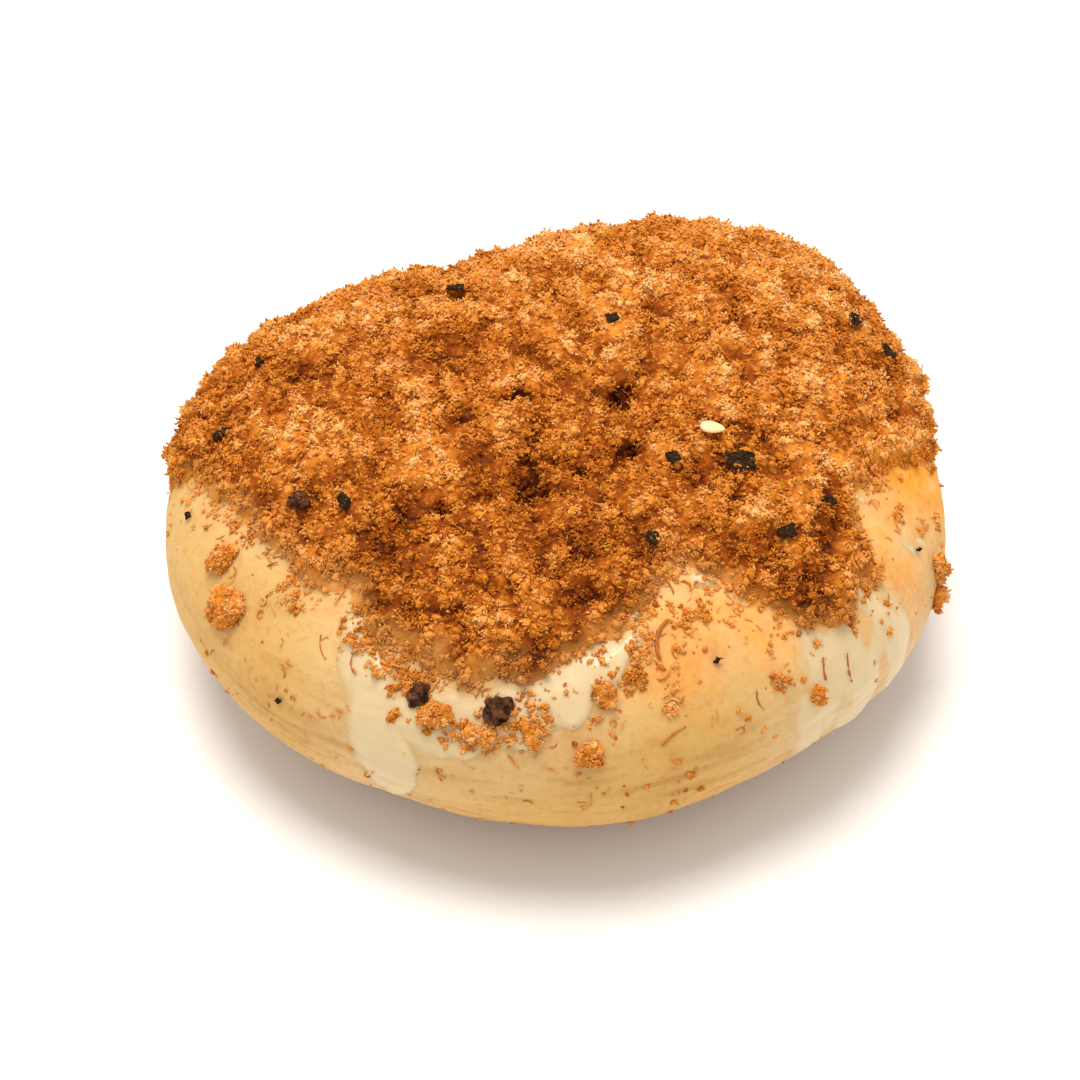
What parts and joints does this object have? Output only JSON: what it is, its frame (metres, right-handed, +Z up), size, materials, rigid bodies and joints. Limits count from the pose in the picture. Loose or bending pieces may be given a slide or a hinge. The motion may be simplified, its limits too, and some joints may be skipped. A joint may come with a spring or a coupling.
{
  "type": "bagel with meat floss topping",
  "caption": "Soft round bagel with its hole closed up, spread with cream and topped with meat floss, nori flakes and sesame; stands on its flat underside.",
  "frame": {"origin": "on the resting surface, under the middle of the object's box", "axes": "+Z up out of the topping, +X along the longest extent, -Y towards the front, where the cream runs down"},
  "size_m": [0.1094, 0.1056, 0.0461],
  "materials": {
    "crust": null,
    "cream": null,
    "floss": null,
    "crisp": null,
    "nori": null,
    "sesame": null
  },
  "bodies": {
    "root": {"bagel_bread": "crust", "clump_front_1": "floss", "clump_front_2": "floss", "clump_front_3": "floss", "clump_front_4": "floss", "clump_front_5": "floss", "clump_front_6": "floss", "clump_left_large": "floss", "clump_left_upper": "floss", "clump_right_1": "floss", "clump_right_2": "floss", "clump_right_3": "floss", "cream_spread": "cream", "crisp_chunk_1": "crisp", "crisp_chunk_2": "crisp", "crisp_chunk_3": "crisp", "floss_strand_1": "floss", "floss_strand_2": "floss", "floss_strand_3": "floss", "floss_strand_4": "floss", "floss_strand_5": "floss", "floss_strand_6": "floss", "floss_strand_7": "floss", "floss_strand_8": "floss", "floss_topping": "floss", "nori_flake_1": "nori", "nori_flake_10": "nori", "nori_flake_11": "nori", "nori_flake_12": "nori", "nori_flake_2": "nori", "nori_flake_3": "nori", "nori_flake_4": "nori", "nori_flake_5": "nori", "nori_flake_6": "nori", "nori_flake_7": "nori", "nori_flake_8": "nori", "nori_flake_9": "nori", "nori_speck_1": "nori", "nori_speck_2": "nori", "nori_speck_3": "nori", "nori_speck_4": "nori", "sesame_seed": "sesame"}
  },
  "joints": []
}
